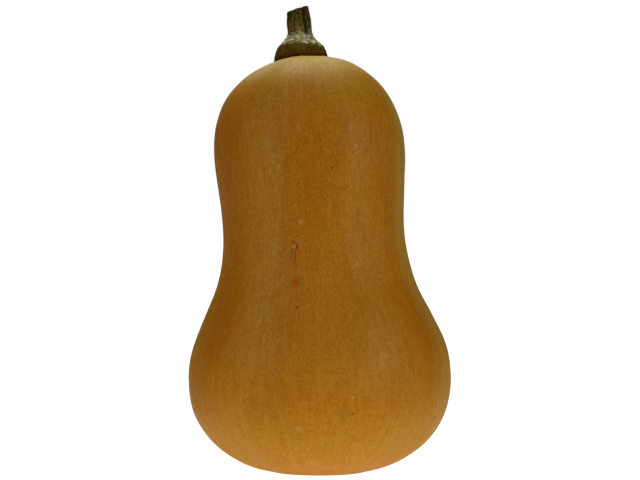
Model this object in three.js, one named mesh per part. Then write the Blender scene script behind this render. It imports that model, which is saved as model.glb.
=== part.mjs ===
// Butternut squash standing on its blossom end. Millimetres, +Z up, the stem leans towards -X and +Y.
import * as THREE from "three";

const { smoothstep, degToRad, lerp } = THREE.MathUtils;

// Fruit outline from the blossom end up to the stem's seat: [radius, height]
const FRUIT_OUTLINE = [
  // dimple round the blossom scar, then the ring that the squash stands on
  [0, 2.5], [12, 1.5], [17.5, 0], [22, 0],
  // bulb
  [31.5, 3], [42, 7.5], [55, 17.5], [62.5, 30], [65, 45], [63.5, 60], [57, 76.5], [49.5, 93],
  // waist and neck
  [45.5, 111], [45, 128], [46.5, 145], [47.5, 160], [46, 174],
  // crown, rim of the seat and seat
  [40.5, 188], [32, 197], [25, 202.2], [17.5, 205.5], [15.5, 204.8], [10, 204.2], [0, 204.2],
];
const RING_EDGE = 23;
const SEAT_HEIGHT = 204.2;
const SEAT_EDGE = 15;

// The neck leans off the bulb's axis, and the crown is turned about a point inside the neck
const LEAN_LEFT = { by: 4.5, from: 60, to: 160 };
const LEAN_BACK = { by: 5, from: 50, to: 175 };
const CROWN_TURN = { left: degToRad(5), back: degToRad(8), pivot: 155, from: 125, to: 192 };

// Relief of the skin: ribs and a broad unevenness on the body, ribs at the crown, lobes near the ring
const RIB_ANGLE = degToRad(-102);
const BODY_RELIEF = { rib: 0.3, oval: 0.5, swell: 0.4, from: 20, full: 70, fade: 168, to: 196 };
const CROWN_RELIEF = { rib: 0.8, from: 178, full: 198, reach: 27 };
const END_RELIEF = { sink: -0.4, width: degToRad(13), reach: 33, fade: 10, to: 42 };
// [direction in degrees, rise]
const END_LOBES = [
  [-14, 0.9], [-52, 0.4], [-88, 0.5], [-127, 0.8], [-163, 1.2],
  [160, 0.7], [122, 0.9], [86, 0.5], [50, 0.8], [19, 0.4],
];

// Stem: [radius over its ridges, height above its underside]
const STEM_OUTLINE = [
  // foot
  [12.8, 0], [14.2, 1.7], [13.7, 4.4], [12.8, 7.4], [11.2, 9.8],
  // flare and column
  [9.2, 11.9], [7.6, 14], [6.8, 16.1], [6.5, 18.5], [6.4, 22], [6, 27.5],
];
const STEM_GAP = 0.3;
const UNDERSIDE_RADIUS = 7;
const STEM_RIDGES = 5;
const FURROW = { foot: 0.08, column: 0.22, from: 8, to: 18 };
// The flare starts lower on the +X side
const FLARE_DROP = { by: 0.45, from: 6, full: 11, fade: 16, to: 21 };
const CUT = { height: 28.9, slopeX: 0.27, slopeY: -0.05, sag: 0.7, chamfer: 0.5, rim: 0.93 };

const FRUIT_COLUMNS = 64;
const FRUIT_STEPS = 3;
const STEM_COLUMNS = 50;
const STEM_STEPS = 2;

function smoothPoints(outline, steps) {
  const points = outline.map(([radius, height]) => new THREE.Vector3(radius, height, 0));
  const curve = new THREE.CatmullRomCurve3(points, false, "centripetal");
  return curve.getPoints((outline.length - 1) * steps);
}

function bump(angle, centre, width) {
  const away = Math.atan2(Math.sin(angle - centre), Math.cos(angle - centre));
  return Math.exp(-((away / width) ** 2));
}

function bodyRelief(angle, height) {
  const { rib, oval, swell, from, full, fade, to } = BODY_RELIEF;
  const strength = smoothstep(height, from, full) * (1 - smoothstep(height, fade, to));
  const ribs = rib * Math.cos(2 * STEM_RIDGES * (angle - RIB_ANGLE));
  const uneven = oval * Math.cos(2 * angle + 0.9) + swell * Math.cos(3 * angle - 0.7 + height / 60);
  return strength * (ribs + uneven);
}

function crownRelief(angle, radius, height) {
  const { rib, from, full, reach } = CROWN_RELIEF;
  const strength = smoothstep(height, from, full) * smoothstep(radius, SEAT_EDGE, reach);
  return strength * rib * Math.cos(STEM_RIDGES * (angle - RIB_ANGLE));
}

function endRelief(angle, radius, height) {
  const { sink, width, reach, fade, to } = END_RELIEF;
  const strength = smoothstep(radius, RING_EDGE, reach) * (1 - smoothstep(height, fade, to));
  const lobes = END_LOBES.map(([direction, rise]) => rise * bump(angle, degToRad(direction), width));
  return strength * lobes.reduce((sum, lobe) => sum + lobe, sink);
}

// How far the skin stands out from the smooth outline
function skinRelief(angle, radius, height) {
  return bodyRelief(angle, height) + crownRelief(angle, radius, height) + endRelief(angle, radius, height);
}

// Moves a point of the straight fruit to its place on the leaning one
function leanPoint(point) {
  const { left, back, pivot, from, to } = CROWN_TURN;
  const height = point.z;
  const turn = smoothstep(height, from, to);
  point.z -= pivot;
  point.applyEuler(new THREE.Euler(-back * turn, -left * turn, 0));
  point.z += pivot;
  point.x -= LEAN_LEFT.by * smoothstep(height, LEAN_LEFT.from, LEAN_LEFT.to);
  point.y += LEAN_BACK.by * smoothstep(height, LEAN_BACK.from, LEAN_BACK.to);
  return point;
}

// Closed surface over rings of points, all listed anticlockwise and from the lowest up
function closedSurface(bottom, rings, top) {
  const columns = rings[0].length;
  const points = [bottom, ...rings.flat(), top];
  const at = (row, column) => 1 + row * columns + (column % columns);
  const lastRow = rings.length - 1;
  const faces = [];
  for (let column = 0; column < columns; column++) {
    faces.push(0, at(0, column + 1), at(0, column));
    for (let row = 0; row < lastRow; row++) {
      faces.push(at(row, column), at(row, column + 1), at(row + 1, column + 1));
      faces.push(at(row, column), at(row + 1, column + 1), at(row + 1, column));
    }
    faces.push(at(lastRow, column), at(lastRow, column + 1), points.length - 1);
  }
  const geometry = new THREE.BufferGeometry().setFromPoints(points);
  geometry.setIndex(faces);
  geometry.computeVertexNormals();
  return geometry;
}

function ring(columns, pointAt) {
  return Array.from({ length: columns }, (_, column) => pointAt((2 * Math.PI * column) / columns));
}

function fruitGeometry() {
  const outline = smoothPoints(FRUIT_OUTLINE, FRUIT_STEPS);
  const rings = [];
  for (let i = 1; i < outline.length - 1; i++) {
    const { x: radius, y: height } = outline[i];
    const along = outline[i + 1].clone().sub(outline[i - 1]).normalize();
    rings.push(ring(FRUIT_COLUMNS, (angle) => {
      const relief = skinRelief(angle, radius, height);
      const r = radius + relief * along.y;
      const z = Math.max(height - relief * along.x, 0);
      return leanPoint(new THREE.Vector3(r * Math.cos(angle), r * Math.sin(angle), z));
    }));
  }
  const bottom = new THREE.Vector3(0, 0, outline[0].y);
  const top = leanPoint(new THREE.Vector3(0, 0, SEAT_HEIGHT));
  return closedSurface(bottom, rings, top);
}

function cutHeight(x, y) {
  return CUT.height + CUT.slopeX * x + CUT.slopeY * y;
}

function stemPoint(angle, radius, height) {
  const furrow = lerp(FURROW.foot, FURROW.column, smoothstep(height, FURROW.from, FURROW.to));
  const wave = 0.5 - 0.5 * Math.cos(STEM_RIDGES * (angle - RIB_ANGLE));
  const r = radius * (1 - furrow * wave);
  const { by, from, full, fade, to } = FLARE_DROP;
  const drop = by * smoothstep(height, from, full) * (1 - smoothstep(height, fade, to));
  return new THREE.Vector3(r * Math.cos(angle), r * Math.sin(angle), height - drop * Math.cos(angle));
}

function stemGeometry() {
  const outline = smoothPoints(STEM_OUTLINE, STEM_STEPS);
  const topRadius = outline.at(-1).x;
  const rings = [ring(STEM_COLUMNS, (angle) => stemPoint(angle, UNDERSIDE_RADIUS, 0))];
  for (const { x: radius, y: height } of outline) {
    rings.push(ring(STEM_COLUMNS, (angle) => stemPoint(angle, radius, height)));
  }
  const cutRing = (share, sag) => ring(STEM_COLUMNS, (angle) => {
    const point = stemPoint(angle, topRadius * share, CUT.height);
    point.z = cutHeight(point.x, point.y) - sag;
    return point;
  });
  rings.push(cutRing(1, CUT.chamfer), cutRing(CUT.rim, 0), cutRing(0.6, CUT.sag * 0.6));
  const bottom = new THREE.Vector3(0, 0, 0);
  const top = new THREE.Vector3(0, 0, cutHeight(0, 0) - CUT.sag);
  return closedSurface(bottom, rings, top);
}

const skin = new THREE.MeshStandardMaterial({ color: 0xc9872f, roughness: 0.45 });
const driedStem = new THREE.MeshStandardMaterial({ color: 0x6b6238, roughness: 0.85 });

const fruit = new THREE.Mesh(fruitGeometry(), skin);
fruit.name = "fruit";

const stem = new THREE.Mesh(stemGeometry(), driedStem);
stem.name = "stem";
stem.position.z = SEAT_HEIGHT + STEM_GAP - CROWN_TURN.pivot;

const crown = new THREE.Group();
crown.add(stem);
crown.rotation.set(-CROWN_TURN.back, -CROWN_TURN.left, 0);
crown.position.set(-LEAN_LEFT.by, LEAN_BACK.by, CROWN_TURN.pivot);

// The box of the whole squash is centred over the origin
const squash = new THREE.Group();
squash.add(fruit, crown);
const box = new THREE.Box3().setFromObject(squash, true);
squash.position.set(-(box.min.x + box.max.x) / 2, -(box.min.y + box.max.y) / 2, -box.min.z);

const part = new THREE.Group();
part.add(squash);
export default part;
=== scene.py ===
from math import cos, pi, radians, sin

import bpy
import numpy as np
from mathutils import Matrix, Vector


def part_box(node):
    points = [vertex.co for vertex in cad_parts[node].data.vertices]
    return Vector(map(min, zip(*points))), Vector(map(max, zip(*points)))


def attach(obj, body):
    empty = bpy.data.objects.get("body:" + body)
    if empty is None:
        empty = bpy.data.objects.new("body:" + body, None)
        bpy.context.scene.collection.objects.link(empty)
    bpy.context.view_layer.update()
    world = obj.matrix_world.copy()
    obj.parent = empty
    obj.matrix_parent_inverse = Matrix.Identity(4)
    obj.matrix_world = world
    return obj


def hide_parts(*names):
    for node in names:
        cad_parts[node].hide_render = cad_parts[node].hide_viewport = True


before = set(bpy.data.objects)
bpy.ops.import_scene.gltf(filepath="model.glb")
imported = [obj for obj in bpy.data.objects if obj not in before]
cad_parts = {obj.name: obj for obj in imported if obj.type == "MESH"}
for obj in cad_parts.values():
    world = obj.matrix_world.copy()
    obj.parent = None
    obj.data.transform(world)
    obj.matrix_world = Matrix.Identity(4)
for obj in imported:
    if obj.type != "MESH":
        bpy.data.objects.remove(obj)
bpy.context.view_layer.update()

MM = 0.001

# Fruit outline from the blossom end up to the stem's seat: [radius, height]
FRUIT_OUTLINE = [
    # dimple round the blossom scar, then the ring that the squash stands on
    [0, 2.5], [12, 1.5], [17.5, 0], [22, 0],
    # bulb
    [31.5, 3], [42, 7.5], [55.1, 17.5], [62.9, 30], [65.4, 45], [63.8, 60], [57, 76.5], [49.5, 93],
    # waist and neck
    [45.5, 111], [45, 128], [46.5, 145], [47.5, 160], [46, 174],
    # crown, lip round the stem's foot and seat
    [40.5, 188], [31.8, 196.9], [24.7, 201.9], [18.3, 205], [15.6, 206], [14.75, 205.7], [14.4, 205.1],
    [13.65, 204.3], [12.3, 204.2], [0, 204.2],
]
RING_EDGE = 23
SEAT_HEIGHT = 204.2
SEAT_EDGE = 15

# The neck leans off the bulb's axis, and the crown is turned about a point inside the neck
LEAN_LEFT = {"by": 4.25, "start": 60, "end": 160}
LEAN_BACK = {"by": 5, "start": 50, "end": 175}
CROWN_TURN = {"left": radians(5), "back": radians(8), "pivot": 155, "start": 125, "end": 192}

# Relief of the skin: ribs and a broad unevenness on the body, ribs at the crown, lobes near the ring
RIB_ANGLE = radians(-102)
BODY_RELIEF = {"rib": 0.3, "oval": 0.5, "swell": 0.4, "start": 20, "full": 70, "fade": 168, "end": 196}
CROWN_RELIEF = {"rib": 0.8, "start": 178, "full": 198, "reach": 27}
END_RELIEF = {"sink": -0.4, "width": radians(13), "reach": 33, "fade": 10, "end": 42}
# [direction, rise]
END_LOBES = [
    [-14, 1.15], [-48, 0.05], [-92, 0.6], [-127, 0.4], [-161, 1.3],
    [160, 0.7], [122, 0.9], [86, 0.5], [50, 0.8], [19, 0.4],
]

# Stem: [radius over its ridges, height above its underside]
STEM_OUTLINE = [
    # foot
    [7, 0], [12.8, 0], [14.2, 1.7], [13.7, 4.4], [12.8, 7.4], [11.2, 9.8],
    # flare and column
    [9.2, 11.9], [7.6, 14], [6.8, 16.1], [6.5, 18.5], [6.4, 22], [6, 27.5],
]
STEM_GAP = 0.3
STEM_RIDGES = 5
FURROW = {"foot": 0.08, "column": 0.22, "start": 8, "end": 18}
SHALLOW_FURROW = {"at": radians(-138), "width": radians(30), "loss": 0.55}
FLARE_DROP = {"by": 0.45, "start": 6, "full": 11, "fade": 16, "end": 21}
# The torn cut's height across the stem: [x, height]
CUT_EDGE = [
    [-6.5, 28], [-5.3, 28], [-3.4, 27.8], [-1.4, 27.9], [1.3, 28.75], [3.3, 29.7], [4.8, 29.8], [6, 29.2],
    [6.8, 28.5],
]
CUT = {"slope_y": -0.08, "sag": 0.7, "chamfer": 0.35, "rim": 0.93}
COLUMN_BEND = {"by": 0.5, "start": 9, "end": 26}
STRETCH_FROM = 18
# The ridges wind round the column
TWIST = {"most": radians(13), "start": 8, "full": 14, "fade": 16, "end": 27, "left_over": 0.45}

# Fineness of the meshes, and the seeds of their random draws
FRUIT_COLUMNS = 340
STEM_COLUMNS = 300
BODY_GAP = 1.12
SEAT_GAP = 0.5
STEM_ROW_GAP = 0.2
CUT_ROWS = 34
SKIN_SEED = 11
STEM_SEED = 23

# Flat layouts for baking: how far the end discs reach over the surface, and the strip's width and stretch
SKIN_LAYOUT = {"low_cap": 55, "high_cap": 60, "wide": 2 * pi * 65, "stretch": 1.06}
STEM_LAYOUT = {"low_cap": 12.5, "high_cap": 5.5, "wide": 2 * pi * 14.2, "stretch": 1.3}


def smoothstep(value, low, high):
    share = np.clip((value - low) / (high - low), 0, 1)
    return share * share * (3 - 2 * share)


def curve_through(outline, steps=30):
    """Points along a centripetal Catmull-Rom curve through an outline."""
    outline = np.array(outline, dtype=float)
    before = 2 * outline[0] - outline[1]
    after = 2 * outline[-1] - outline[-2]
    p = np.vstack([before, outline, after])
    gaps = np.sqrt(np.linalg.norm(np.diff(p, axis=0), axis=1))
    t = np.linspace(0, 1, steps, endpoint=False)[:, None]
    pieces = []
    for i in range(1, len(p) - 2):
        d0, d1, d2 = gaps[i - 1:i + 2]
        middle = (p[i + 1] - p[i]) / d1
        start = d1 * ((p[i] - p[i - 1]) / d0 - (p[i + 1] - p[i - 1]) / (d0 + d1) + middle)
        end = d1 * (middle - (p[i + 2] - p[i]) / (d1 + d2) + (p[i + 2] - p[i + 1]) / d2)
        rise = p[i + 1] - p[i]
        bend = t**2 * (3 * rise - 2 * start - end) + t**3 * (start + end - 2 * rise)
        pieces.append(p[i] + t * start + bend)
    return np.vstack(pieces + [outline[-1:]])


def spaced(points, gap):
    """A curve's points again, gap apart, where gap may differ from point to point."""
    steps = np.linalg.norm(np.diff(points, axis=0), axis=1)
    gap = np.broadcast_to(gap, len(points))
    count = np.concatenate([[0], np.cumsum(steps / gap[1:])])
    at = np.linspace(0, count[-1], round(count[-1]) + 1)
    return np.column_stack([np.interp(at, count, column) for column in points.T])


def relaxed(points, strength, passes):
    """A curve's points with its bends evened out, where strength goes up to 0.5."""
    points = points.copy()
    for _ in range(passes):
        pull = points[:-2] + points[2:] - 2 * points[1:-1]
        points[1:-1] += strength[1:-1, None] * pull
    return points


def outward(outline):
    """How far a step out of the surface goes in radius and in height."""
    along = np.gradient(outline, axis=0)
    along /= np.linalg.norm(along, axis=1, keepdims=True)
    return along[:, 1:2], -along[:, 0:1]


def waves(points, wavelength, rng, count=40):
    """Soft unevenness, mostly between -1 and 1, from plane waves in random directions."""
    directions = rng.normal(size=(count, 3))
    directions /= np.linalg.norm(directions, axis=1, keepdims=True)
    lengths = wavelength * rng.uniform(0.7, 1.5, count)
    phases = rng.uniform(0, 2 * pi, count)
    total = np.zeros(points.shape[:-1])
    for direction, length, phase in zip(directions, lengths, phases):
        total += np.cos(points @ (direction * 2 * pi / length) + phase)
    return total / np.sqrt(2 * count)


def bump(angle, centre, width):
    away = np.arctan2(np.sin(angle - centre), np.cos(angle - centre))
    return np.exp(-(away / width) ** 2)


def ridge_wave(angle):
    """0 on the stem's ridges and 1 in its furrows."""
    return 0.5 - 0.5 * np.cos(STEM_RIDGES * (angle - RIB_ANGLE))


def untwisted(angle, height):
    """The direction on the foot from which a ridge comes to this place."""
    t = TWIST
    strength = smoothstep(height, t["start"], t["full"])
    strength = strength * (1 - (1 - t["left_over"]) * smoothstep(height, t["fade"], t["end"]))
    return angle - t["most"] * strength


def furrow_depth(angle):
    """Share of its full depth that each furrow has."""
    r = SHALLOW_FURROW
    return 1 - r["loss"] * bump(angle, r["at"], r["width"])


def furrow_shape(angle):
    """0 on the stem's ridges and up to 1 in its furrows, the shallow one less."""
    return ridge_wave(angle) ** 1.2 * furrow_depth(angle)


def body_relief(angle, height):
    r = BODY_RELIEF
    strength = smoothstep(height, r["start"], r["full"]) * (1 - smoothstep(height, r["fade"], r["end"]))
    ribs = r["rib"] * np.cos(2 * STEM_RIDGES * (angle - RIB_ANGLE))
    uneven = r["oval"] * np.cos(2 * angle + 0.9) + r["swell"] * np.cos(3 * angle - 0.7 + height / 60)
    return strength * (ribs + uneven)


def crown_relief(angle, radius, height):
    r = CROWN_RELIEF
    strength = smoothstep(height, r["start"], r["full"]) * smoothstep(radius, SEAT_EDGE, r["reach"])
    return strength * r["rib"] * np.cos(STEM_RIDGES * (angle - RIB_ANGLE))


def end_relief(angle, radius, height):
    r = END_RELIEF
    strength = smoothstep(radius, RING_EDGE, r["reach"]) * (1 - smoothstep(height, r["fade"], r["end"]))
    lobes = sum(rise * bump(angle, radians(direction), r["width"]) for direction, rise in END_LOBES)
    return strength * (r["sink"] + lobes)


def leaned(points):
    """Points of the straight fruit at their places on the leaning one."""
    x, y, z = np.moveaxis(points, -1, 0)
    turn = smoothstep(z, CROWN_TURN["start"], CROWN_TURN["end"])
    left = CROWN_TURN["left"] * turn
    back = CROWN_TURN["back"] * turn
    left_by = LEAN_LEFT["by"] * smoothstep(z, LEAN_LEFT["start"], LEAN_LEFT["end"])
    back_by = LEAN_BACK["by"] * smoothstep(z, LEAN_BACK["start"], LEAN_BACK["end"])
    z = z - CROWN_TURN["pivot"]
    x, z = x * np.cos(left) - z * np.sin(left), x * np.sin(left) + z * np.cos(left)
    y, z = y * np.cos(back) + z * np.sin(back), z * np.cos(back) - y * np.sin(back)
    return np.stack([x - left_by, y + back_by, z + CROWN_TURN["pivot"]], axis=-1)


def around(angle, radius, height):
    return np.stack(np.broadcast_arrays(radius * np.cos(angle), radius * np.sin(angle), height), axis=-1)


# Fruit

# Soft unevenness of the skin: [wavelength, height]
SKIN_WAVES = [[70, 0.22], [28, 0.12], [9, 0.035]]
DENTS = {"count": 70, "radius": [2.5, 8], "depth": [0.05, 0.22]}
FOLDS = {"wavelength": 4.5, "height": 0.16, "start": 34, "full": 19}
BLOSSOM_SCAR = {"radius": 5.5, "rise": 0.7, "groove": 0.35, "nub": 1.6, "below": 10}
SCAR_RISE = 0.35
# Radius at which the lines along the skin are noted for its material
LINES_RADIUS = 50

# Marks on the skin: [direction, height, half width, half length, strength]
CORK_SCARS = [
    [-102.2, 112.2, 0.95, 1.1, 0.8], [-103.2, 109.4, 0.4, 2.0, 0.4], [-100.9, 109.6, 0.3, 1.4, 0.3],
    [66, 88, 0.8, 2.4, 0.8], [67, 84, 0.5, 2.6, 0.6], [151, 139, 1.6, 0.6, 0.8], [20, 34, 1.2, 1.0, 0.7],
]
SCAR_EDGES = [
    [-104.1, 110.7, 0.55, 3.2, 0.7], [-101.8, 108, 0.55, 4.0, 0.75], [-100.2, 112.6, 0.6, 1.9, 0.95],
    [-103, 114.3, 1.4, 0.55, 0.6], [-102.2, 109, 2.0, 4.6, 0.25], [66.4, 86, 1.8, 5, 0.6],
    [151, 139, 2.8, 1.6, 0.6], [20, 34, 2, 1.8, 0.6],
]
DARK_SPOTS = [
    [-77.3, 148.3, 0.6, 0.65, 0.7], [-100.6, 83.7, 0.65, 0.65, 0.7], [-110.1, 145, 0.45, 0.5, 0.6],
    [-75.2, 33.4, 0.6, 0.4, 0.7], [-121.8, 40, 0.45, 0.45, 0.5], [-117.5, 36.5, 0.4, 0.35, 0.5],
    [-58.2, 19.6, 0.4, 0.4, 0.4], [-61.4, 26.1, 0.4, 0.35, 0.4], [-64.6, 155, 0.45, 0.45, 0.55],
    [-109, 69, 0.5, 0.5, 0.45], [-31, 104, 0.45, 0.5, 0.4], [38, 152, 0.7, 0.8, 0.6],
    [96, 70, 0.7, 0.6, 0.6], [131, 128, 0.5, 0.7, 0.6], [172, 61, 0.7, 0.7, 0.6], [12, 47, 0.6, 0.6, 0.6],
]
RED_STAINS = [
    [-99.4, 110.8, 1.3, 3.0, 0.4], [-101.6, 96.2, 2.0, 2.8, 0.75], [-100.9, 88, 1.1, 1.3, 0.35],
    [-101.5, 102, 1.0, 2.2, 0.4], [-74.1, 123.8, 1.5, 1.0, 0.25], [-117.5, 128.2, 1.6, 1.2, 0.2],
    [-97.6, 120.5, 1.2, 2.2, 0.4], [-30.7, 191.8, 2.2, 1.6, 0.3], [-130.2, 190, 1.6, 1.6, 0.45],
    [-92.5, 79, 1.0, 2.6, 0.35],
    [64, 101, 1.8, 3.0, 0.5], [118, 173, 1.5, 2.6, 0.5], [156, 44, 2.0, 1.6, 0.5],
]
PALE_SPOTS = [
    [-97.4, 124.9, 1.0, 1.0, 0.5], [-130.2, 139.4, 0.9, 1.0, 0.4], [-128.1, 126, 0.8, 0.8, 0.3],
    [-110.1, 149.4, 1.0, 1.6, 0.4], [-70.9, 124.9, 1.0, 1.2, 0.4], [-68.8, 118.2, 0.9, 0.8, 0.35],
    [-65.6, 103.8, 0.9, 0.7, 0.35], [-64, 104.2, 0.7, 0.6, 0.3], [-127.1, 173.9, 0.8, 1.0, 0.3],
    [-110.1, 189.2, 0.8, 1.0, 0.3], [-96.4, 166.2, 0.9, 2.4, 0.35], [-64.6, 165.1, 1.2, 1.6, 0.45],
    [-62.5, 157.2, 1.0, 2.4, 0.4], [-115.4, 112.6, 1.2, 3.0, 0.3], [-117, 160, 1.2, 3.2, 0.35],
    [-113, 154, 1.6, 2.4, 0.3], [-61.4, 108.2, 0.9, 2.0, 0.3], [-99.5, 26, 1.6, 1.4, 0.4],
    [-94, 8, 2.4, 2.2, 0.35], [55, 139, 0.8, 1.4, 0.4], [83, 166, 0.8, 1.6, 0.4], [142, 92, 0.9, 1.2, 0.4],
    [20, 121, 0.7, 2.0, 0.4],
]
OLIVE_SMUDGES = [
    [-79.5, 33.6, 4, 2.2, 0.4], [-112, 37, 5, 3, 0.2], [75, 41, 7, 4, 0.4], [178, 150, 4, 7, 0.4],
]

# Broad patches of colour: [direction, height, half width in degrees, half length, strength]. The pale ones
# about 30 degrees either side of the front (-90) and near -24 degrees are partly painted sheen and painted
# reflection, the rest paler skin
PALE_AND_SHEEN_PATCHES = [
    [-117, 125, 9, 62, 0.55], [-62, 135, 9, 52, 0.5], [-60, 64, 11, 15, 1.0], [-120, 72, 12, 20, 0.55],
    [-48, 22, 16, 12, 0.5], [-88, 78, 6, 30, 0.2], [-24, 128, 7, 60, 0.7], [-22, 50, 8, 34, 0.6],
    [34, 130, 9, 45, 0.7], [78, 66, 15, 22, 0.8], [112, 150, 8, 40, 0.7], [160, 85, 12, 30, 0.6],
]
# The red ones about 45 to 85 degrees either side of the front are painted shade on the flanks, the rest
# redder skin
RED_AND_SHADE_PATCHES = [
    [-91, 162, 12, 34, 0.6], [-150, 142, 14, 50, 0.9], [-174, 165, 13, 28, 0.8], [-145, 68, 12, 22, 0.8],
    [-34, 70, 9, 22, 0.8], [-38, 140, 7, 44, 0.7], [-101, 98, 5, 12, 0.4], [-134, 184, 14, 12, 0.5],
    [8, 110, 12, 50, 0.8], [58, 172, 10, 25, 0.7], [93, 110, 8, 45, 0.5], [139, 60, 12, 26, 0.8],
]


def fruit_outline():
    outline = curve_through(FRUIT_OUTLINE)
    radius, height = outline.T
    at_seat = smoothstep(height, 200, 204) * smoothstep(radius, 10, 13)
    outline = spaced(outline, BODY_GAP + (SEAT_GAP - BODY_GAP) * at_seat)[1:-1]
    height = outline[:, 1]
    strength = 0.5 * smoothstep(height, 3, 12) * (1 - smoothstep(height, 194, 202))
    return relaxed(outline, strength, 12)


def dents(points, rng):
    low, high = points.min(axis=(0, 1)), points.max(axis=(0, 1))
    relief = np.zeros(points.shape[:-1])
    for _ in range(DENTS["count"]):
        row, column = rng.integers(points.shape[0]), rng.integers(points.shape[1])
        radius = rng.uniform(*DENTS["radius"])
        depth = rng.uniform(*DENTS["depth"]) * rng.choice([-1, -1, 1])
        away = np.linalg.norm(points - points[row, column], axis=-1)
        relief += depth * np.exp(-(away / radius) ** 2)
    return relief


def scar_relief(angle, radius, height):
    rise = 0
    for direction, middle, half_width, half_length, _ in CORK_SCARS:
        across = bump(angle, radians(direction), (half_width + 0.5) / radius)
        rise = rise + across * np.exp(-((height - middle) / (half_length + 0.5)) ** 2)
    return SCAR_RISE * np.minimum(rise, 1)


def blossom_relief(angle, radius, height, points, rng):
    """Rise of the corky scar in the dimple, which faces down."""
    s = BLOSSOM_SCAR
    button = s["rise"] * (1 - smoothstep(radius, s["radius"] - 1.2, s["radius"]))
    groove = -s["groove"] * np.exp(-((radius - s["radius"] - 0.6) / 0.8) ** 2)
    nub = 0.4 * np.exp(-(radius / s["nub"]) ** 2)
    cork = 0.18 * waves(points, 1.8, rng) * (1 - smoothstep(radius, s["radius"], s["radius"] + 2))
    return (button + groove + nub + cork) * (height < s["below"])


def fruit_rings(angle, outline, rng):
    radius, height = outline[:, 0:1], outline[:, 1:2]
    out_r, out_z = outward(outline)
    near_foot = (1 - smoothstep(radius, 15.2, 20)) * smoothstep(height, 195, 200)
    radius = radius * (1 - FURROW["foot"] * furrow_shape(angle) * near_foot)
    relief = body_relief(angle, height)
    relief = relief + crown_relief(angle, radius, height) + end_relief(angle, radius, height)
    plain = around(angle, radius + relief * out_r, height + relief * out_z)
    loose = smoothstep(height, 1.5, 14) * (1 - smoothstep(height, 198, 205))
    for wavelength, rise in SKIN_WAVES:
        relief = relief + loose * rise * waves(plain, wavelength, rng)
    relief = relief + loose * dents(plain, rng)
    folds = waves(around(angle, 20, 0 * height), FOLDS["wavelength"], rng)
    at_folds = smoothstep(height, 190, 198) * smoothstep(-radius, -FOLDS["start"], -FOLDS["full"])
    at_folds = at_folds * smoothstep(radius, 14.6, 17)
    relief = relief + FOLDS["height"] * at_folds * folds
    relief = relief + blossom_relief(angle, radius, height, plain, rng) + scar_relief(angle, radius, height)
    rings = around(angle, radius + relief * out_r, np.maximum(height + relief * out_z, 0))
    return leaned(rings)


# Stem

# Unevenness of the stem's surface: [wavelength, height]
COARSE_FIBRES = [3.2, 0.30]
FINE_FIBRES = [1.5, 0.18]
CORK_WAVES = [3.0, 0.10]
CORK_PITS = [1.4, 0.12]
WRINKLES = [2.4, 0.12]
LUMPS = [7, 0.12]
TORN_FIBRES = [1.3, 0.3]
TORN_WAVES = [3, 0.15]
# How far the fibres, the cork and the torn cut lie below the smooth form
FIBRE_SINK = 0.42
CORK_SINK = 0.08
TORN_SINK = 0.45
WRINKLE_BAND = {"at": 11, "reach": 4}
# On the cut, by share of the way from its middle to its edge: a ring of bundles round a sunken pith
BUNDLES = {"at": 0.72, "reach": 0.1, "rise": 0.3}
PITH = {"sink": 0.5, "start": 0.15, "end": 0.4}
# How far the point in the middle of the cut lies below the sagging face
MIDDLE_SINK = 0.9
# Painted shade down the column's sides, darkest on the -X side: [direction, half width in degrees, darkness]
SHADED_FLANKS = [[187, 24, 0.85], [-4, 13, 0.5]]


def cut_height(x, y):
    across, height = zip(*CUT_EDGE)
    return np.interp(x, across, height) + CUT["slope_y"] * y


def bent(points):
    """The column leans a little towards +X over its foot."""
    r = COLUMN_BEND
    away = r["by"] * smoothstep(points[..., 2], r["start"], r["end"])
    return points + away[..., None] * [1, 0, 0]


def stem_radius(angle, radius, height):
    column = smoothstep(height, FURROW["start"], FURROW["end"])
    furrow = FURROW["foot"] + (FURROW["column"] - FURROW["foot"]) * column
    return radius * (1 - furrow * furrow_shape(untwisted(angle, height)))


def flare_drop(angle, height):
    r = FLARE_DROP
    strength = smoothstep(height, r["start"], r["full"]) * (1 - smoothstep(height, r["fade"], r["end"]))
    return r["by"] * strength * np.cos(angle)


def rough(points, unevenness, rng):
    """Soft unevenness of one kind, given by its wavelength and height."""
    wavelength, height = unevenness
    return height * waves(points, wavelength, rng)


def stem_relief(angle, radius, height, rng):
    """Fibres along the column, wrinkles at the flare and cork on the foot."""
    place = around(angle, radius, height)
    fibre_place = around(angle, 7, height * 0.1)
    column = smoothstep(height, 9, 17)
    fibres = np.abs(rough(fibre_place, COARSE_FIBRES, rng)) + np.abs(rough(fibre_place, FINE_FIBRES, rng))
    cork = rough(place, CORK_WAVES, rng) + np.abs(rough(place, CORK_PITS, rng))
    at_wrinkles = np.exp(-((height - WRINKLE_BAND["at"]) / WRINKLE_BAND["reach"]) ** 2)
    wrinkles = rough(place * [0.5, 0.5, 1.6], WRINKLES, rng) * at_wrinkles
    lumps = rough(place, LUMPS, rng)
    above_seat = smoothstep(height, 1.8, 4)
    side = column * (fibres - FIBRE_SINK) + (1 - 0.6 * column) * (cork - CORK_SINK)
    return above_seat * (side + wrinkles + lumps)


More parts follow.
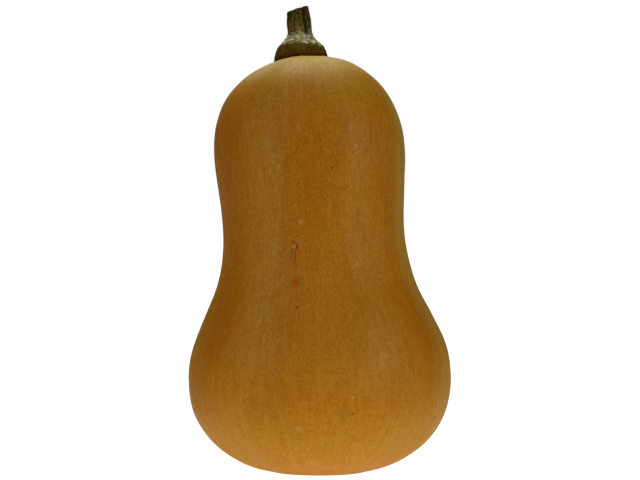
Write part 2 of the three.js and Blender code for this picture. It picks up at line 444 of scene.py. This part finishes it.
def cut_rings(angle, rim_radius, rng):
    """Rings of the torn cut, from its edge to its middle."""
    share = np.linspace(1, 0, CUT_ROWS + 1)[1:-1, None]
    x, y = share * rim_radius * np.cos(angle), share * rim_radius * np.sin(angle)
    edge = CUT["chamfer"] * smoothstep(share, CUT["rim"], 1)
    sag = CUT["sag"] * (1 - smoothstep(share, 0.2, CUT["rim"]))
    face = np.stack([x, y, np.zeros_like(x)], axis=-1)
    torn = np.abs(rough(face, TORN_FIBRES, rng)) + rough(face, TORN_WAVES, rng) - TORN_SINK
    pith = -PITH["sink"] * (1 - smoothstep(share, PITH["start"], PITH["end"]))
    ring = BUNDLES["rise"] * np.exp(-((share - BUNDLES["at"]) / BUNDLES["reach"]) ** 2)
    bundles = ring * (0.5 + 0.5 * np.cos(2 * STEM_RIDGES * (angle - RIB_ANGLE)))
    inner = smoothstep(1 - share, 0, 0.12)
    return np.stack([x, y, cut_height(x, y) - edge - sag + inner * (torn + bundles + pith)], axis=-1)


def stem_rings(angle, rng):
    outline = spaced(curve_through(STEM_OUTLINE), STEM_ROW_GAP)
    radius, height = outline[:, 0:1], np.maximum(outline[:, 1:2], 0)
    out_r, out_z = outward(outline)
    relief = stem_relief(angle, radius, height, rng)
    r = stem_radius(angle, radius, height) + relief * out_r
    z = height + relief * out_z - flare_drop(angle, height)
    # The upper column ends at the slanting cut
    rim_radius = r[-1]
    rim = cut_height(rim_radius * np.cos(angle), rim_radius * np.sin(angle)) - CUT["chamfer"]
    column_top = STEM_OUTLINE[-1][1]
    z = z + smoothstep(height, STRETCH_FROM, column_top) * (rim - column_top)
    return bent(np.vstack([around(angle, r, z), cut_rings(angle, rim_radius, rng)]))


def in_crown(points):
    """Points above the stem's underside at their places on the leaning crown."""
    return leaned(points + [0, 0, SEAT_HEIGHT + STEM_GAP])


# Meshes

def distances(outline):
    """Each row's distance from the lower pole along the outline, and the upper pole's."""
    steps = np.linalg.norm(np.diff(outline, axis=0), axis=1)
    walked = outline[0, 0] + np.concatenate([[0], np.cumsum(steps)])
    return walked, walked[-1] + outline[-1, 0]


def add_piece(name, points, faces):
    mesh = bpy.data.meshes.new(name)
    mesh.from_pydata((points * MM).tolist(), [], faces)
    mesh.shade_smooth()
    piece = bpy.data.objects.new(name, mesh)
    bpy.context.scene.collection.objects.link(piece)
    return piece


def closed_piece(name, bottom, rings, top):
    """Closed surface over rings of points, all listed anticlockwise and from the lowest up."""
    rows, columns = rings.shape[:2]
    at = np.arange(rows * columns).reshape(rows, columns)
    beside = np.roll(at, -1, axis=1)
    sides = np.stack([at[:-1], beside[:-1], beside[1:], at[1:]], axis=-1).reshape(-1, 4)
    low = np.full(columns, rows * columns)
    foot = np.column_stack([low, beside[0], at[0]])
    head = np.column_stack([at[-1], beside[-1], low + 1])
    points = np.vstack([rings.reshape(-1, 3), bottom, top])
    return add_piece(name, points, sides.tolist() + foot.tolist() + head.tolist())


def lay_out(piece, columns, walked, whole, layout):
    """Flat layout for baking: the side as a strip over the two ends as discs, where walked is each row's
    distance from the lower pole along the surface and whole the upper pole's."""
    low, high = np.searchsorted(walked, [layout["low_cap"], whole - layout["high_cap"]])
    low_radius, high_radius = walked[low], whole - walked[high]
    wide = layout["wide"]
    gap = wide / 60
    turn = 2 * pi * np.arange(columns + 1) / columns
    over = 2 * max(low_radius, high_radius) + 2 * gap
    up = over + layout["stretch"] * (walked[:, None] - walked[low])
    strip = np.stack(np.broadcast_arrays(gap + wide * turn / (2 * pi), up), axis=-1)
    middle_low = np.array([gap + low_radius, gap + low_radius])
    middle_high = np.array([2 * gap + 2 * low_radius + high_radius, gap + high_radius])
    facing = np.stack([np.cos(turn), np.sin(turn)], axis=-1)
    low_disc = middle_low + walked[:, None, None] * facing * [1, -1]
    high_disc = middle_high + (whole - walked)[:, None, None] * facing
    row = np.arange(len(walked) - 1)[:, None, None]

    def corners(rows, columns):
        return np.where(row < low, low_disc[rows, columns],
                        np.where(row < high, strip[rows, columns], high_disc[rows, columns]))

    now, then = slice(None, -1), slice(1, None)
    sides = [corners(now, now), corners(now, then), corners(then, then), corners(then, now)]
    sides = np.stack(sides, axis=2)
    foot = [np.broadcast_to(middle_low, (columns, 2)), low_disc[0, 1:], low_disc[0, :-1]]
    foot = np.stack(foot, axis=1)
    head = [high_disc[-1, :-1], high_disc[-1, 1:], np.broadcast_to(middle_high, (columns, 2))]
    head = np.stack(head, axis=1)
    spots = np.vstack([sides.reshape(-1, 2), foot.reshape(-1, 2), head.reshape(-1, 2)])
    layer = piece.data.uv_layers.new(name="OFBake")
    layer.data.foreach_set("uv", (spots / (spots.max() + gap)).astype(np.float32).ravel())


def note_on_points(piece, name, values):
    """Stores three numbers for each point, for the material to read."""
    layer = piece.data.attributes.new(name, "FLOAT_VECTOR", "POINT")
    layer.data.foreach_set("vector", np.asarray(values, dtype=np.float32).ravel())


def patches(angle, height, listed):
    """Soft patches, up to about 1 in the middle."""
    total = 0
    for direction, middle, half_width, half_length, strength in listed:
        across = bump(angle, radians(direction), radians(half_width))
        total = total + strength * across * np.exp(-((height - middle) / half_length) ** 2)
    return total


class SkinGrid:
    """The skin's points by their direction and height, for placing marks on it."""

    def __init__(self, angle, outline, rings):
        self.angle, self.height, self.rings = angle, outline[:, 1], rings
        self.outside = outline[:, 0] > RING_EDGE - 1

    def place_of(self, direction, height):
        """The point there, and the turn whose X runs round the fruit, Y up it and Z out of it."""
        row = np.abs(np.where(self.outside, self.height, np.inf) - height).argmin()
        column = round(direction / 360 * len(self.angle)) % len(self.angle)
        here = Vector(self.rings[row, column])
        around_it = Vector(self.rings[row, (column + 1) % len(self.angle)]) - here
        out = around_it.cross(Vector(self.rings[row + 1, column]) - here).normalized()
        across = around_it.normalized()
        turn = Matrix((across, out.cross(across), out)).transposed()
        return here, turn.to_euler()


def add_fruit(rng):
    angle = 2 * pi * np.arange(FRUIT_COLUMNS) / FRUIT_COLUMNS
    outline = fruit_outline()
    rings = fruit_rings(angle, outline, rng)
    bottom = [0, 0, FRUIT_OUTLINE[0][1] - BLOSSOM_SCAR["rise"] - 0.4]
    top = leaned(np.array([0.0, 0.0, SEAT_HEIGHT]))
    low, high = rings.min(axis=(0, 1)), rings.max(axis=(0, 1))
    box_low, box_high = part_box("fruit")
    middle = (Vector(box_low) + Vector(box_high)) / 2 / MM
    shift = np.array([middle.x - (low[0] + high[0]) / 2, middle.y - (low[1] + high[1]) / 2, 0])
    piece = closed_piece("squash_skin", bottom + shift, rings + shift, top + shift)
    walked, whole = distances(outline)
    lay_out(piece, FRUIT_COLUMNS, walked, whole, SKIN_LAYOUT)
    lines = around(angle, LINES_RADIUS, outline[:, 1:2]).reshape(-1, 3)
    note_on_points(piece, "skin_lines", np.vstack([lines, [0, 0, 0], [0, 0, SEAT_HEIGHT]]))
    radius, height = outline[:, 0:1], outline[:, 1:2]
    # Pale patches are partly painted sheen and painted reflection, red ones partly painted shade
    pale = patches(angle, height, PALE_AND_SHEEN_PATCHES)
    red_and_shade = patches(angle, height, RED_AND_SHADE_PATCHES)
    blossom = (1 - smoothstep(radius, 5, 7.5)) * (height < BLOSSOM_SCAR["below"]) + 0 * angle
    tones = np.stack([pale, red_and_shade, blossom], axis=-1).reshape(-1, 3)
    note_on_points(piece, "skin_tones", np.vstack([tones, [0, 0, 1], [0, 0, 0]]))
    return piece, shift, SkinGrid(angle, outline, rings + shift)


def add_stem(rng, shift):
    angle = 2 * pi * np.arange(STEM_COLUMNS) / STEM_COLUMNS
    rings = stem_rings(angle, rng)
    top = bent(np.array([0, 0, cut_height(0, 0) - CUT["sag"] - MIDDLE_SINK]))
    placed = in_crown(rings) + shift
    piece = closed_piece("dry_stem", in_crown(np.zeros(3)) + shift, placed, in_crown(top) + shift)
    walked, whole = distances(np.stack([np.hypot(rings[:, 0, 0], rings[:, 0, 1]), rings[:, 0, 2]], axis=-1))
    lay_out(piece, STEM_COLUMNS, walked, whole, STEM_LAYOUT)
    note_on_points(piece, "stem_place", np.vstack([rings.reshape(-1, 3), [0, 0, 0], top]))
    height = rings[..., 2]
    on_cut = (np.arange(len(rings)) >= len(rings) - CUT_ROWS + 1)[:, None]
    on_side = 1 - on_cut
    straight = untwisted(angle, height)
    # Painted shade in the furrows and down the column's sides, and darker just below the cut's edge
    furrow = ridge_wave(straight) ** 3 * furrow_depth(straight) ** 2 * smoothstep(height, 9, 15)
    shaded_flanks = sum(dark * bump(angle, radians(at), radians(width)) for at, width, dark in SHADED_FLANKS)
    below_cut = cut_height(rings[..., 0], rings[..., 1]) - height
    edge = 0.8 * (1 - smoothstep(below_cut, 0.3, 1.2))
    dark = np.maximum(np.maximum(furrow, edge), shaded_flanks * smoothstep(height, 11, 16)) * on_side
    crest = (1 - ridge_wave(straight)) ** 2 * np.exp(-((height - 14) / 4) ** 2) * on_side
    tones = np.stack([dark, crest, on_cut + 0 * height], axis=-1).reshape(-1, 3)
    note_on_points(piece, "stem_tones", np.vstack([tones, [0, 0, 0], [0, 0, 1]]))
    return piece


# Materials

class Graph:
    """Short calls for building nodes."""

    def __init__(self, owner):
        owner.use_nodes = True
        self.tree = owner.node_tree
        self.tree.nodes.clear()

    def node(self, kind, inputs=None, **settings):
        made = self.tree.nodes.new("ShaderNode" + kind)
        for name, value in settings.items():
            setattr(made, name, value)
        for name, value in (inputs or {}).items():
            self.put(made.inputs[name], value)
        return made

    def put(self, socket, value):
        if isinstance(value, bpy.types.NodeSocket):
            self.tree.links.new(value, socket)
        else:
            socket.default_value = value

    def math(self, operation, first, second=0.0):
        return self.node("Math", {0: first, 1: second}, operation=operation).outputs[0]

    def times(self, first, second):
        return self.math("MULTIPLY", first, second)

    def plus(self, first, second):
        return self.math("ADD", first, second)

    def scaled(self, vector, factors):
        inputs = {0: vector, 1: factors}
        return self.node("VectorMath", inputs, operation="MULTIPLY").outputs[0]

    def attribute(self, name):
        return self.node("Attribute", attribute_name=name).outputs["Vector"]

    def noise(self, vector, size, detail=2.0, roughness=0.5):
        """Noise whose soft blobs are about size across."""
        inputs = {"Vector": vector, "Scale": 1 / size, "Detail": detail, "Roughness": roughness}
        return self.node("TexNoise", inputs).outputs["Fac"]

    def cells(self, vector, size):
        return self.node("TexVoronoi", {"Vector": vector, "Scale": 1 / size}).outputs

    def ranged(self, value, low, high, to_low=0.0, to_high=1.0):
        inputs = {"Value": value, "From Min": low, "From Max": high, "To Min": to_low, "To Max": to_high}
        return self.node("MapRange", inputs, interpolation_type="SMOOTHSTEP").outputs[0]

    def mix(self, factor, first, second, blend="MIX"):
        made = self.node("Mix", {"Factor": factor}, data_type="RGBA", blend_type=blend)
        colours = [socket for socket in made.inputs if socket.type == "RGBA"]
        self.put(colours[0], first)
        self.put(colours[1], second)
        return next(socket for socket in made.outputs if socket.type == "RGBA")

    def bump(self, height, distance):
        inputs = {"Height": height, "Distance": distance, "Strength": 1.0}
        return self.node("Bump", inputs).outputs[0]

    def finish(self, shader, kind="OutputMaterial"):
        output = self.node(kind)
        self.tree.links.new(shader, output.inputs["Surface"])


SKIN_TAN = (0.62, 0.238, 0.0065, 1)
SKIN_DEEP = (0.575, 0.208, 0.003, 1)
SKIN_GOLD = (0.595, 0.272, 0.009, 1)
# Painted shade on the shoulder below the crown
SKIN_SHOULDER_SHADE = (0.512, 0.237, 0.010, 1)
# Paler skin, also used for painted sheen and painted reflection on the front flanks
SKIN_PALE_AND_SHEEN = (0.64, 0.285, 0.026, 1)
# Redder skin, also used for painted shade on the flanks
SKIN_RED_AND_SHADE = (0.56, 0.168, 0.002, 1)
# Olive colour of the painted reflection down the right edge
SKIN_OLIVE_SHEEN = (0.63, 0.335, 0.030, 1)
# Pale crown: partly its own paler colour, partly painted highlight from above
SKIN_CROWN_PALE_AND_HIGHLIGHT = (0.73, 0.475, 0.112, 1)
SKIN_FLECK = (0.68, 0.40, 0.11, 1)
MARK_RED = (0.38, 0.08, 0.002, 1)
MARK_ORANGE = (0.54, 0.107, 0.002, 1)
MARK_DARK = (0.17, 0.028, 0.002, 1)
MARK_OLIVE = (0.40, 0.18, 0.008, 1)
CORK = (0.68, 0.38, 0.09, 1)
CORK_GREY = (0.33, 0.22, 0.11, 1)


def marks_mask(g, place, marks, skin_grid, softness):
    """Each mark's strength on it and 0 off it."""
    mask = 0.0
    for direction, height, half_width, half_length, strength in marks:
        centre, turn = skin_grid.place_of(direction, height)
        size = (half_width, half_length, 6)
        inputs = {"Vector": place, "Location": centre, "Rotation": turn, "Scale": size}
        local = g.node("Mapping", inputs, vector_type="TEXTURE").outputs[0]
        away = g.node("VectorMath", {0: local}, operation="LENGTH").outputs["Value"]
        mask = g.math("MAXIMUM", mask, g.ranged(away, 1 + softness, 1 - softness, 0, strength))
    return mask


# Height at which each broad colour begins and height at which it is full; the shoulder's darker colour is
# painted shade
GOLD_AT = (40, 14)
SHOULDER_SHADE_AT = (169, 187)
# The crown's pale colour is partly painted highlight from above
CROWN_AT = (189.5, 205)
# A greener strip down the right edge as seen from the front, narrower on the bulb, painted reflection of the
# pale backdrop: its direction and the angles from it where the green begins and is full
OLIVE_SHEEN_SIDE = {"direction": radians(-6), "start": radians(28), "full": radians(14), "strength": 0.7,
              "less_on_bulb": 2.2, "bulb": (105, 75)}
# Shares of the fine mottling, and its darkest and palest shade in red, green and blue
FINE_SHARES = {"mottle": 0.17, "grain": 0.63, "streaks": 0.2}
SHADE_SPREAD = ((0.86, 1.10), (0.71, 1.265), (0.05, 2.1))
# The mottling is weaker on the bulb: [height, strength] at either end of the change
CALM_BULB = [[60, 0.88], [115, 1.0]]
FLECKS = {"size": 2.6, "strength": 0.5}
PITS = {"size": 3.6, "strength": 0.4}
# How far the edges of marks stray from their ovals
STRAY = 1.8
SKIN_GLOSS = 0.13
SKIN_BUMP = 0.0001
# Waxy bloom that shows along the skin's edges
BLOOM = {"weight": 0.08, "roughness": 0.35, "tint": (0.8, 1.0, 0.45, 1)}


def olive_sheen_side(g, lines, height):
    r = OLIVE_SHEEN_SIDE
    side = (cos(r["direction"]), sin(r["direction"]), 0)
    facing = g.node("VectorMath", {0: lines, 1: side}, operation="DOT_PRODUCT").outputs["Value"]
    facing = g.math("SUBTRACT", facing, g.ranged(height, *r["bulb"], 0, r["less_on_bulb"]))
    start, full = LINES_RADIUS * cos(r["start"]), LINES_RADIUS * cos(r["full"])
    return g.ranged(facing, start, full, 0, r["strength"])


def broad_colour(g, lines, height, tones):
    """Colours of the body from the bulb up to the crown, with pale and red patches; parts are painted light:
    sheen, shade on the flanks and shoulder, a reflection on the right edge, a highlight on the crown.
    """
    cloud = g.noise(g.scaled(lines, (1, 1, 0.4)), 22, 3)
    colour = g.mix(g.ranged(cloud, 0.35, 0.65), SKIN_DEEP, SKIN_TAN)
    colour = g.mix(g.ranged(height, *GOLD_AT), colour, SKIN_GOLD)
    blots = g.ranged(g.noise(g.scaled(lines, (1, 1, 0.45)), 5, 4, 0.6), 0.3, 0.7, 0.45, 1.35)
    # Pale patches, partly painted sheen and painted reflection
    colour = g.mix(g.times(tones["X"], blots), colour, SKIN_PALE_AND_SHEEN)
    bands = g.noise(g.scaled(lines, (1, 1, 0.08)), 6, 2)
    colour = g.mix(g.ranged(bands, 0.5, 0.75, 0, 0.25), colour, SKIN_PALE_AND_SHEEN)
    # Painted reflection down the right edge
    colour = g.mix(olive_sheen_side(g, lines, height), colour, SKIN_OLIVE_SHEEN)
    # Painted shade on the shoulder
    colour = g.mix(g.ranged(height, *SHOULDER_SHADE_AT), colour, SKIN_SHOULDER_SHADE)
    # Red patches, those on the flanks painted shade
    colour = g.mix(g.times(tones["Y"], blots), colour, SKIN_RED_AND_SHADE)
    # Pale crown, partly painted highlight
    return g.mix(g.ranged(height, *CROWN_AT), colour, SKIN_CROWN_PALE_AND_HIGHLIGHT)


def fine_mottling(g, place, lines):
    """Unevenness from blotches, grain and streaks, mostly between 0.35 and 0.65."""
    mottle = g.noise(g.scaled(place, (1, 1, 0.6)), 2.2, 2)
    grain = g.noise(g.scaled(place, (1, 1, 0.8)), 0.8, 3, 0.6)
    streaks = g.noise(g.scaled(lines, (1, 1, 0.12)), 1.6, 2)
    fine = g.plus(g.times(mottle, FINE_SHARES["mottle"]), g.times(grain, FINE_SHARES["grain"]))
    return g.plus(fine, g.times(streaks, FINE_SHARES["streaks"]))


def mottled(g, colour, fine, height):
    shade = {i: g.ranged(fine, 0.35, 0.65, *limits) for i, limits in enumerate(SHADE_SPREAD)}
    shade = g.node("CombineColor", shade).outputs[0]
    (low, weak), (high, strong) = CALM_BULB
    return g.mix(g.ranged(height, low, high, weak, strong), colour, shade, "MULTIPLY")


def cell_spots(g, place, spots, channel, chosen, sizes):
    """Spots in the middles of some of the cells, picked by one channel of the cells' random colours."""
    cells = g.cells(place, spots["size"])
    pick = g.node("SeparateColor", {0: cells["Color"]}).outputs[channel]
    return g.times(g.ranged(cells["Distance"], *sizes), g.ranged(pick, *chosen))


def strayed(g, place):
    """The place pushed about a little, so that marks get uneven edges."""
    stray = g.node("TexNoise", {"Vector": place, "Scale": 0.9, "Detail": 2.0}).outputs["Color"]
    stray = g.node("VectorMath", {0: stray, 1: (0.5, 0.5, 0.5)}, operation="SUBTRACT").outputs[0]
    stray = g.scaled(stray, (STRAY, STRAY, STRAY))
    return g.node("VectorMath", {0: place, 1: stray}, operation="ADD").outputs[0]


def marked(g, colour, place, loose_place, skin_grid):
    """The colour with stains and pale spots on it."""
    stains = ((OLIVE_SMUDGES, 0.8, MARK_OLIVE), (SCAR_EDGES, 0.5, MARK_RED), (RED_STAINS, 0.7, MARK_ORANGE))
    for marks, softness, paint in stains:
        colour = g.mix(marks_mask(g, loose_place, marks, skin_grid, softness), colour, paint)
    pale = marks_mask(g, loose_place, PALE_SPOTS, skin_grid, 0.7)
    broken = g.ranged(g.noise(place, 0.6, 2), 0.42, 0.6, 0.25, 1.6)
    return g.mix(g.times(pale, broken), colour, SKIN_FLECK)


def skin_relief(g, place, fine, fleck, scars, dark):
    relief = g.plus(g.times(fine, 0.6), g.times(g.noise(place, 1.1, 2), 0.3))
    relief = g.plus(relief, g.times(fleck, 0.4))
    relief = g.plus(relief, g.times(scars, 1.5))
    return g.math("SUBTRACT", relief, g.times(dark, 1.5))


def skin_material(skin_grid):
    material = bpy.data.materials.new("butternut_skin")
    g = Graph(material)
    place = g.scaled(g.node("TexCoord").outputs["Object"], (1 / MM, 1 / MM, 1 / MM))
    lines = g.attribute("skin_lines")
    height = g.node("SeparateXYZ", {0: lines}).outputs["Z"]
    tones = g.node("SeparateXYZ", {0: g.attribute("skin_tones")}).outputs
    fine = fine_mottling(g, place, lines)
    colour = mottled(g, broad_colour(g, lines, height, tones), fine, height)

    # Scattered pale flecks and tiny dark pits
    fleck = cell_spots(g, g.scaled(place, (1, 1, 0.8)), FLECKS, 0, (0.55, 1.0), (0.26, 0.08))
    colour = g.mix(g.times(fleck, FLECKS["strength"]), colour, SKIN_FLECK)
    pit = cell_spots(g, place, PITS, 1, (0.72, 0.76), (0.14, 0.05))
    colour = g.mix(g.times(pit, PITS["strength"]), colour, MARK_RED)

    # Single marks, then the cork of the blossom scar
    loose_place = strayed(g, place)
    scars = marks_mask(g, loose_place, CORK_SCARS, skin_grid, 0.35)
    dark = marks_mask(g, loose_place, DARK_SPOTS, skin_grid, 0.4)
    colour = marked(g, colour, place, loose_place, skin_grid)
    colour = g.mix(scars, colour, CORK)
    colour = g.mix(dark, colour, MARK_DARK)
    cork = g.ranged(g.noise(place, 1.6, 4), 0.3, 0.7)
    colour = g.mix(tones["Z"], colour, g.mix(cork, CORK_GREY, CORK))

    rough_skin = g.ranged(g.noise(place, 3, 3), 0.3, 0.7, 0.42, 0.55)
    rough_skin = g.plus(rough_skin, g.times(g.math("MAXIMUM", scars, tones["Z"]), 0.35))
    relief = skin_relief(g, place, fine, fleck, scars, dark)
    shader = g.node("BsdfPrincipled", {
        "Base Color": colour, "Roughness": rough_skin, "Normal": g.bump(relief, SKIN_BUMP),
        "Specular IOR Level": SKIN_GLOSS, "Sheen Weight": BLOOM["weight"],
        "Sheen Roughness": BLOOM["roughness"], "Sheen Tint": BLOOM["tint"]})
    g.finish(shader.outputs[0])
    return material


STEM_BROWN = (0.058, 0.036, 0.004, 1)
STEM_OLIVE = (0.090, 0.068, 0.010, 1)
STEM_FOOT = (0.105, 0.046, 0.0006, 1)
STEM_MOSS = (0.100, 0.070, 0.004, 1)
STEM_LIGHT = (0.42, 0.28, 0.075, 1)
# Pale dust, partly painted highlight on the up-facing flare
STEM_DUST_AND_HIGHLIGHT = (0.72, 0.70, 0.41, 1)
STEM_DARK = (0.010, 0.005, 0.001, 1)
# Dark red at the stem's base: reddish contact line and painted shade
STEM_RED_SHADE = (0.055, 0.010, 0.001, 1)
STEM_CUT = (0.42, 0.30, 0.15, 1)


# Heights at which the foot's colour and the dark red beneath it begin and are full; the dark red is partly a
# reddish contact line and partly painted shade where the stem meets the fruit
FOOT_AT = (11.5, 8.5)
CONTACT_SHADE_AT = (5.5, 1.8)
# Pale dust, partly painted highlight where the flare faces up towards the light: how far up the surface
# faces where it begins and is full, and the heights where it begins and ends
DUST_AND_HIGHLIGHT = {"facing_up": (0.22, 0.62), "begins": (8.4, 10.8), "ends": (20, 13.5), "torn_by": 1.6}
# The lower edge of the dust and painted highlight is higher on the -X side
DUST_AND_HIGHLIGHT_TILT = {"across": (-11, 11), "by": (-2.2, 0.5)}
STEM_ROUGHNESS = 0.9
STEM_GLOSS = 0.04
STEM_BUMP = 0.00025


def bark_colour(g, place, height, tones, fibres):
    """Brown and olive bark with pale fibres over a redder foot, with painted shade in the furrows and down
    the column's sides and a darker band below the cut's edge.
    """
    patchy = g.noise(place, 3.5, 3)
    colour = g.mix(g.ranged(patchy, 0.4, 0.65), STEM_BROWN, STEM_OLIVE)
    foot = g.mix(g.ranged(g.noise(place, 4, 3), 0.42, 0.62), STEM_FOOT, STEM_MOSS)
    colour = g.mix(g.ranged(height, *FOOT_AT), colour, foot)
    bright = g.plus(g.times(fibres, 0.5), g.times(g.noise(place, 0.9, 3, 0.7), 0.5))
    reach = g.times(g.ranged(height, 9, 13, 0.15, 1), g.ranged(height, 26, 17, 0.35, 1))
    colour = g.mix(g.times(g.ranged(bright, 0.47, 0.58), reach), colour, STEM_LIGHT)
    crest = g.times(tones["Y"], g.ranged(g.noise(place, 1.5, 3), 0.35, 0.65, 0.2, 0.8))
    colour = g.mix(crest, colour, STEM_LIGHT)
    colour = g.mix(g.ranged(bright, 0.48, 0.36, 0, 0.8), colour, STEM_DARK)
    # Painted shade in the furrows and down the sides, and darkening below the cut's edge
    return g.mix(g.times(tones["X"], 0.85), colour, STEM_DARK)


def dust_and_highlight_mask(g, place, height):
    """Pale dust where the flare faces up, partly painted highlight from the light above."""
    up = g.node("SeparateXYZ", {0: g.node("NewGeometry").outputs["Normal"]}).outputs["Z"]
    dust_and_highlight = g.times(g.ranged(up, *DUST_AND_HIGHLIGHT["facing_up"]), g.ranged(g.noise(place, 1.6, 4), 0.3, 0.55))
    torn = g.ranged(g.noise(place, 3, 4, 0.6), 0.3, 0.7, -DUST_AND_HIGHLIGHT["torn_by"], DUST_AND_HIGHLIGHT["torn_by"])
    torn_height = g.plus(height, torn)
    across = g.node("SeparateXYZ", {0: place}).outputs["X"]
    rising = g.ranged(across, *DUST_AND_HIGHLIGHT_TILT["across"], *DUST_AND_HIGHLIGHT_TILT["by"])
    dust_and_highlight = g.times(dust_and_highlight, g.ranged(g.plus(torn_height, rising), *DUST_AND_HIGHLIGHT["begins"]))
    dust_and_highlight = g.times(dust_and_highlight, g.ranged(torn_height, *DUST_AND_HIGHLIGHT["ends"]))
    return g.times(dust_and_highlight, g.ranged(g.noise(place, 4.5, 2), 0.36, 0.56, 0.35, 1))


def cut_colour(g, place):
    """Dark bark, a paler ring of fibres and a dark pith."""
    flat_place = g.scaled(place, (1, 1, 0))
    from_axis = g.node("VectorMath", {0: flat_place}, operation="LENGTH").outputs["Value"]
    pale = g.times(g.ranged(from_axis, 5.4, 4.4), g.ranged(from_axis, 0.9, 2.2, 0.25, 1))
    grain = g.ranged(g.noise(place, 0.8, 4), 0.3, 0.7, 0.5, 1)
    return g.mix(g.times(pale, grain), STEM_BROWN, STEM_CUT)


def stem_material():
    material = bpy.data.materials.new("dry_stem")
    g = Graph(material)
    place = g.attribute("stem_place")
    height = g.node("SeparateXYZ", {0: place}).outputs["Z"]
    tones = g.node("SeparateXYZ", {0: g.attribute("stem_tones")}).outputs
    fibres = g.noise(g.scaled(place, (1, 1, 0.14)), 0.7, 3, 0.65)
    colour = bark_colour(g, place, height, tones, fibres)
    # Pale dust on the flare, partly painted highlight
    colour = g.mix(dust_and_highlight_mask(g, place, height), colour, STEM_DUST_AND_HIGHLIGHT)
    colour = g.mix(tones["Z"], colour, cut_colour(g, place))
    # Dark red where the stem meets the fruit, partly painted shade
    colour = g.mix(g.ranged(height, *CONTACT_SHADE_AT, 0, 0.95), colour, STEM_RED_SHADE)

    relief = g.plus(fibres, g.noise(place, 0.5, 4))
    shader = g.node("BsdfPrincipled", {
        "Base Color": colour, "Roughness": STEM_ROUGHNESS, "Normal": g.bump(relief, STEM_BUMP),
        "Specular IOR Level": STEM_GLOSS})
    g.finish(shader.outputs[0])
    return material


# Studio

# Soft lights: [direction that the light comes from, half angle of its core and of its edge, strength]
SOFT_LIGHTS = {
    "left_side": [(-0.94, -0.34, 0.2), 8, 28, 0.38],
    "left_front": [(-0.7, -0.7, 0.4), 8, 28, 1.06],
    "right_side": [(0.94, -0.34, 0.2), 8, 28, 1.0],
    "right_front": [(0.7, -0.7, 0.4), 8, 28, 1.16],
    "front_top": [(0, -0.6, 0.8), 12, 40, 0.29],
    "back_top": [(0, 0.95, 0.35), 8, 25, 0.7],
}
# A small lamp close above the crown
LAMP = {"place": (-0.036, 0.085, 0.46), "size": 0.2, "power": 0.43}
# The floor glows like a light table, most of all round the squash
FLOOR = {"size": 40, "drop": 0.00005, "colour": 0.8, "seen": 1.0, "glow": 0.52, "far_glow": 0.07,
         "near": 0.12, "far": 0.2, "mirrored": 0.5}
EYE = {"left_right": 0.0001, "distance": 1.2, "height": 0.1157, "lens": 135, "sensor": 36}


def light_room():
    world = bpy.data.worlds.new("studio")
    bpy.context.scene.world = world
    g = Graph(world)
    direction = g.node("TexCoord").outputs["Generated"]
    total = 0.0
    for aim, core, edge, strength in SOFT_LIGHTS.values():
        inputs = {0: direction, 1: Vector(aim).normalized()}
        facing = g.node("VectorMath", inputs, operation="DOT_PRODUCT").outputs["Value"]
        glow = g.ranged(facing, cos(radians(edge)), cos(radians(core)), 0, strength)
        total = g.plus(total, glow)
    seen = g.node("LightPath").outputs["Is Camera Ray"]
    strength = g.node("Mix", {"Factor": seen, "A": total, "B": 1.0}, data_type="FLOAT").outputs[0]
    light = g.node("Background", {"Color": (1, 1, 1, 1), "Strength": strength})
    g.finish(light.outputs[0], "OutputWorld")


def add_lamp():
    data = bpy.data.lights.new("lamp", "AREA")
    data.shape = "DISK"
    data.size = LAMP["size"]
    data.energy = LAMP["power"]
    lamp = bpy.data.objects.new("lamp", data)
    lamp.location = LAMP["place"]
    bpy.context.scene.collection.objects.link(lamp)


def add_floor():
    half = FLOOR["size"] / 2
    corners = [(-half, -half), (half, -half), (half, half), (-half, half)]
    mesh = bpy.data.meshes.new("floor")
    mesh.from_pydata([(x, y, -FLOOR["drop"]) for x, y in corners], [], [(0, 1, 2, 3)])
    floor = bpy.data.objects.new("floor", mesh)
    bpy.context.scene.collection.objects.link(floor)
    material = bpy.data.materials.new("floor")
    g = Graph(material)
    grey = FLOOR["colour"]
    paint = g.node("BsdfDiffuse", {"Color": (grey, grey, grey, 1)})
    place = g.node("TexCoord").outputs["Object"]
    away = g.node("VectorMath", {0: place}, operation="LENGTH").outputs["Value"]
    lighting = g.ranged(away, FLOOR["near"], FLOOR["far"], FLOOR["glow"], FLOOR["far_glow"])
    ray = g.node("LightPath").outputs
    lighting = g.times(lighting, g.ranged(ray["Is Glossy Ray"], 0, 1, 1, FLOOR["mirrored"]))
    inputs = {"Factor": ray["Is Camera Ray"], "A": lighting, "B": FLOOR["seen"]}
    strength = g.node("Mix", inputs, data_type="FLOAT").outputs[0]
    glow = g.node("Emission", {"Color": (1, 1, 1, 1), "Strength": strength})
    g.finish(g.node("AddShader", {0: paint.outputs[0], 1: glow.outputs[0]}).outputs[0])
    mesh.materials.append(material)


def add_camera():
    data = bpy.data.cameras.new("camera")
    data.lens = EYE["lens"]
    data.sensor_width = EYE["sensor"]
    camera = bpy.data.objects.new("camera", data)
    camera.location = (EYE["left_right"], -EYE["distance"], EYE["height"])
    camera.rotation_euler = (pi / 2, 0, 0)
    bpy.context.scene.collection.objects.link(camera)
    bpy.context.scene.camera = camera


def dress(piece, material, node):
    piece.data.materials.append(material)
    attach(piece, "root")
    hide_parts(node)


add_camera()
light_room()
add_lamp()
add_floor()
fruit, shift, skin_grid = add_fruit(np.random.default_rng(SKIN_SEED))
dress(fruit, skin_material(skin_grid), "fruit")
stem = add_stem(np.random.default_rng(STEM_SEED), shift)
dress(stem, stem_material(), "stem")
bpy.context.scene.view_settings.view_transform = "Standard"
